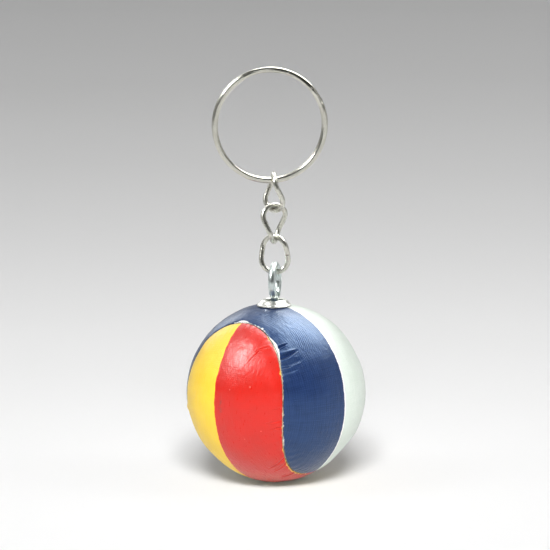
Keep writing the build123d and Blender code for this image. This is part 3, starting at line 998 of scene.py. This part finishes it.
def make_floor():
    """A disc of rings round the origin."""
    verts = [(0, 0, 0)]
    for radius in FLOOR_RINGS:
        for k in range(FLOOR_SEGMENTS):
            angle = TURN * k / FLOOR_SEGMENTS
            verts.append((radius * math.cos(angle), radius * math.sin(angle), 0))
    sectors = [(k, (k + 1) % FLOOR_SEGMENTS) for k in range(FLOOR_SEGMENTS)]
    faces = [(0, 1 + k, 1 + after) for k, after in sectors]
    for i in range(len(FLOOR_RINGS) - 1):
        inner = 1 + i * FLOOR_SEGMENTS
        outer = inner + FLOOR_SEGMENTS
        faces += [(inner + k, outer + k, outer + after, inner + after) for k, after in sectors]
    mesh = bpy.data.meshes.new("floor")
    mesh.from_pydata(verts, [], faces)
    obj = bpy.data.objects.new("floor", mesh)
    obj.location = (0, 0, -FLOOR_DROP)
    bpy.context.scene.collection.objects.link(obj)
    return obj


def floor_material():
    """Pale paper with painted shade that darkens it outwards, in place of the light's falloff."""
    net = Net("pale_floor")
    position = net.position()
    radius = net.vector("LENGTH", position)
    log_radius = net.math("LOGARITHM", net.add(radius, LOG_SHIFT), 10.0)
    low, high = math.log10(LOG_SHIFT), math.log10(RAMP_RADIUS + LOG_SHIFT)
    # painted shade: the ramp darkens the paper outwards
    ramp = net.new("ShaderNodeValToRGB")
    net.put(ramp.inputs[0], net.map(log_radius, span=(low, high)))
    stops = ramp.color_ramp.elements
    while len(stops) < len(FLOOR_PAINTED_SHADE):
        stops.new(0.5)
    for stop, (ring, level) in zip(stops, FLOOR_PAINTED_SHADE):
        stop.position = (math.log10(ring + LOG_SHIFT) - low) / (high - low)
        stop.color = (level, level, level, 1)
    paper = net.noise(net.scale(position, 1 / MM), scale=0.9, detail=3.0, rough=0.6)
    white = net.mix(paper, (FLOOR_WHITE - PAPER_SWING,) * 3, (FLOOR_WHITE + PAPER_SWING,) * 3)
    diffuse = net.new("ShaderNodeBsdfDiffuse")
    net.put(diffuse.inputs["Color"], net.mix(1.0, ramp.outputs[0], white, blend="MULTIPLY"))
    net.put(net.out.inputs[0], diffuse.outputs[0])
    return net.mat


floor = make_floor()
floor.data.materials.append(floor_material())

# ---------------------------------------------------------------- lights
LIGHT_TARGET = Vector((0, 0, 0.03))
LIGHT_FAR = 3.0
# name, azimuth, elevation, size m, power W. A sheen box shows only as a reflection,
# the others only light the set.
LIGHTS = [
    ("front_top_box", 0, 38, (1.1, 0.7), 112.0),
    ("front_low_box", 0, 6, (1.6, 0.5), 14.0),
    ("left_box", -80, 41, (1.0, 1.3), 7.0),
    ("right_box", 80, 35, (1.0, 1.3), 8.0),
    ("left_sheen", -69, 45, (0.8, 1.1), 100.0),
    ("overhead_sheen", 140, 62, (3.0, 2.6), 232.0),
    ("rear_left_sheen", -150, 24, (1.6, 1.2), 20.0),
    ("right_sheen", 78, 8, (0.5, 1.8), 5.0),
]


def softbox(name, azimuth, elevation, size, power):
    """Rectangular softbox that faces the object."""
    light = bpy.data.lights.new(name, "AREA")
    light.shape = "RECTANGLE"
    light.size, light.size_y = size
    light.energy = power
    obj = bpy.data.objects.new(name, light)
    outward = Vector(direction(azimuth, elevation))
    obj.location = LIGHT_TARGET + outward * LIGHT_FAR
    obj.rotation_euler = (-outward).to_track_quat("-Z", "Y").to_euler()
    obj.visible_glossy = name.endswith("sheen")
    obj.visible_diffuse = not obj.visible_glossy
    bpy.context.scene.collection.objects.link(obj)


for row in LIGHTS:
    softbox(*row)

# ---------------------------------------------------------------- world
# place from front (0) to back (1), and colour: the camera's side is a darker room
WORLD_FRONT, WORLD_BACK = (0.08, 0.08, 0.08, 1), (0.50, 0.50, 0.50, 1)
WORLD_MIDDLE = [(0.22, (0.16, 0.16, 0.155, 1)), (0.50, (0.46, 0.46, 0.46, 1))]
WORLD_STRENGTH = 0.62


def make_world():
    world = bpy.data.worlds.new("studio")
    bpy.context.scene.world = world
    world.use_nodes = True
    nodes, links = world.node_tree.nodes, world.node_tree.links
    nodes.clear()
    out = nodes.new("ShaderNodeOutputWorld")
    background = nodes.new("ShaderNodeBackground")
    coords = nodes.new("ShaderNodeTexCoord")
    split = nodes.new("ShaderNodeSeparateXYZ")
    ramp = nodes.new("ShaderNodeValToRGB")
    depth = nodes.new("ShaderNodeMapRange")
    depth.inputs["From Min"].default_value = -1.0
    depth.inputs["From Max"].default_value = 1.0
    links.new(coords.outputs["Generated"], split.inputs[0])
    links.new(split.outputs["Y"], depth.inputs["Value"])
    links.new(depth.outputs[0], ramp.inputs[0])
    stops = ramp.color_ramp.elements
    stops[0].color, stops[1].color = WORLD_FRONT, WORLD_BACK
    for place, colour in WORLD_MIDDLE:
        stops.new(place).color = colour
    links.new(ramp.outputs[0], background.inputs[0])
    background.inputs[1].default_value = WORLD_STRENGTH
    links.new(background.outputs[0], out.inputs[0])


make_world()

scene = bpy.context.scene
scene.view_settings.view_transform = "Standard"
scene.view_settings.look = "None"
scene.view_settings.exposure = 0.0
scene.view_settings.gamma = 1.0

# ---------------------------------------------------------------- camera
CAMERA_AIM = Vector((0.00003, 0.0, 0.0453))
CAMERA_FAR = 0.700
CAMERA_ELEVATION = math.radians(10.0)
CAMERA_ROLL = 0.0105              # radians


def make_camera():
    lens = bpy.data.cameras.new("camera")
    lens.sensor_width = 36.0
    lens.lens = 212.0
    lens.clip_start = 0.01
    lens.clip_end = 50.0
    camera = bpy.data.objects.new("camera", lens)
    scene.collection.objects.link(camera)
    outward = Vector((0, -math.cos(CAMERA_ELEVATION), math.sin(CAMERA_ELEVATION)))
    camera.location = CAMERA_AIM + outward * CAMERA_FAR
    facing = (CAMERA_AIM - camera.location).to_track_quat("-Z", "Y")
    roll = Quaternion((0.0, 0.0, 1.0), -CAMERA_ROLL)
    camera.rotation_euler = (facing @ roll).to_euler()
    scene.camera = camera


make_camera()
